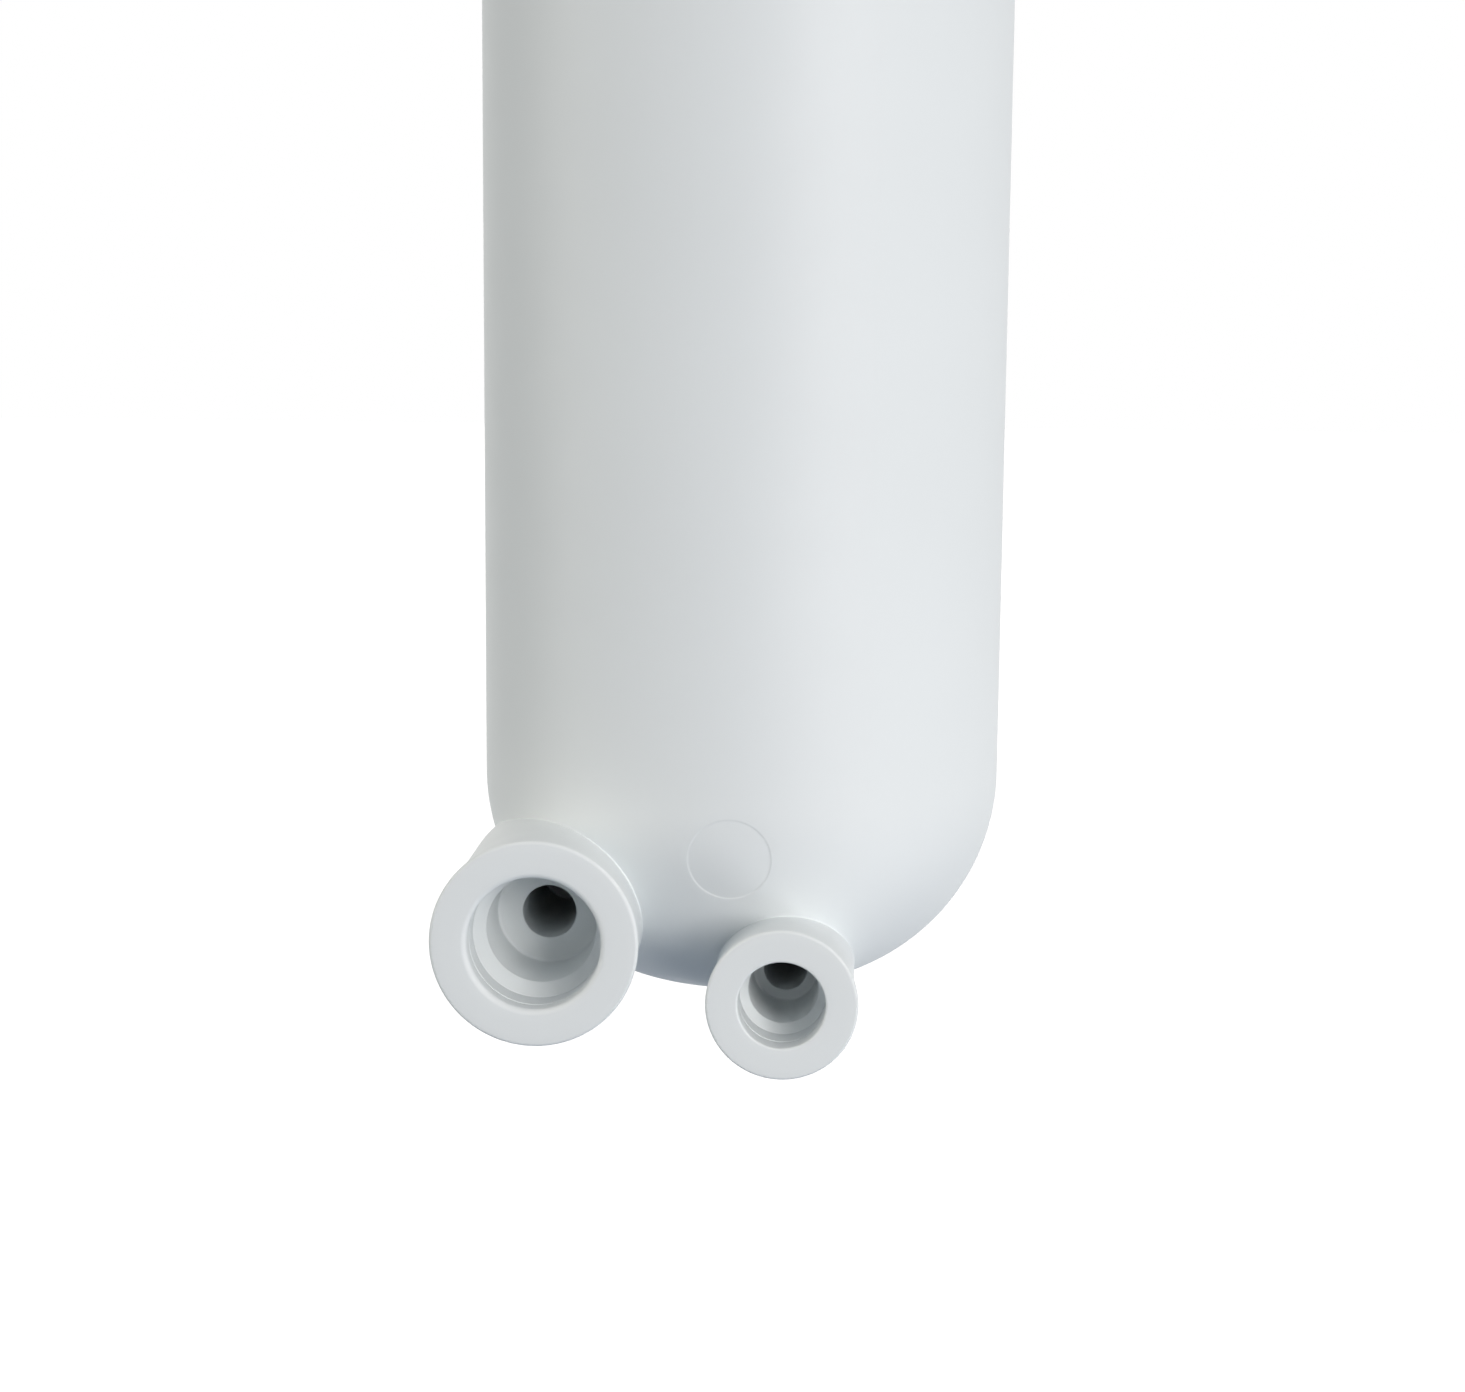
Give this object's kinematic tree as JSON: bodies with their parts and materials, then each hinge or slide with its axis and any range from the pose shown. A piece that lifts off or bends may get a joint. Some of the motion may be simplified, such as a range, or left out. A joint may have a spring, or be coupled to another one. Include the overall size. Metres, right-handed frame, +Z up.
{
  "type": "membrane pressure vessel",
  "caption": "White moulded pressure vessel with a domed end, stepped push-in ports, a ribbed screw cap and a spiral-wound membrane element inside.",
  "frame": {"origin": "on the vessel axis where the straight wall, the band the clips hold, meets the domed end", "axes": "+Z up the vessel axis towards the cap, -Y the way both end ports point, X across the ports"},
  "size_m": [0.113, 0.1124, 0.3434],
  "materials": {
    "white_plastic": "smooth moulded polypropylene",
    "cap_plastic": "smooth moulded polypropylene",
    "black_rubber": "plain moulded",
    "tube_plastic": "plain moulded",
    "membrane": "wound sheet and mesh",
    "wrap_tape": "wound tape"
  },
  "bodies": {
    "vessel": {"vessel_shell": "white_plastic", "permeate_tube": "tube_plastic", "tube_plug": "tube_plastic", "nose_o_ring_lower": "black_rubber", "nose_o_ring_upper": "black_rubber", "membrane_roll": "membrane", "outer_wrap": "wrap_tape", "brine_seal": "black_rubber"},
    "cap_seals": {"cap_o_ring_lower": "black_rubber", "cap_o_ring_upper": "black_rubber"},
    "cap": {"end_cap": "cap_plastic"}
  },
  "joints": [
    {"name": "cap_lift", "type": "slide", "parent": "vessel", "child": "cap_seals", "axis": [0, 0, 1], "range_m": [0, 0.015]},
    {"name": "cap_turn", "type": "hinge", "parent": "cap_seals", "child": "cap", "pos_m": [0, 0, 0.277], "axis": [0, 0, 1], "range_deg": [0, 900]}
  ],
  "couplings": [
    {"joint": "cap_lift", "follows": "cap_turn", "m_per_rad": 0.00095492}
  ]
}
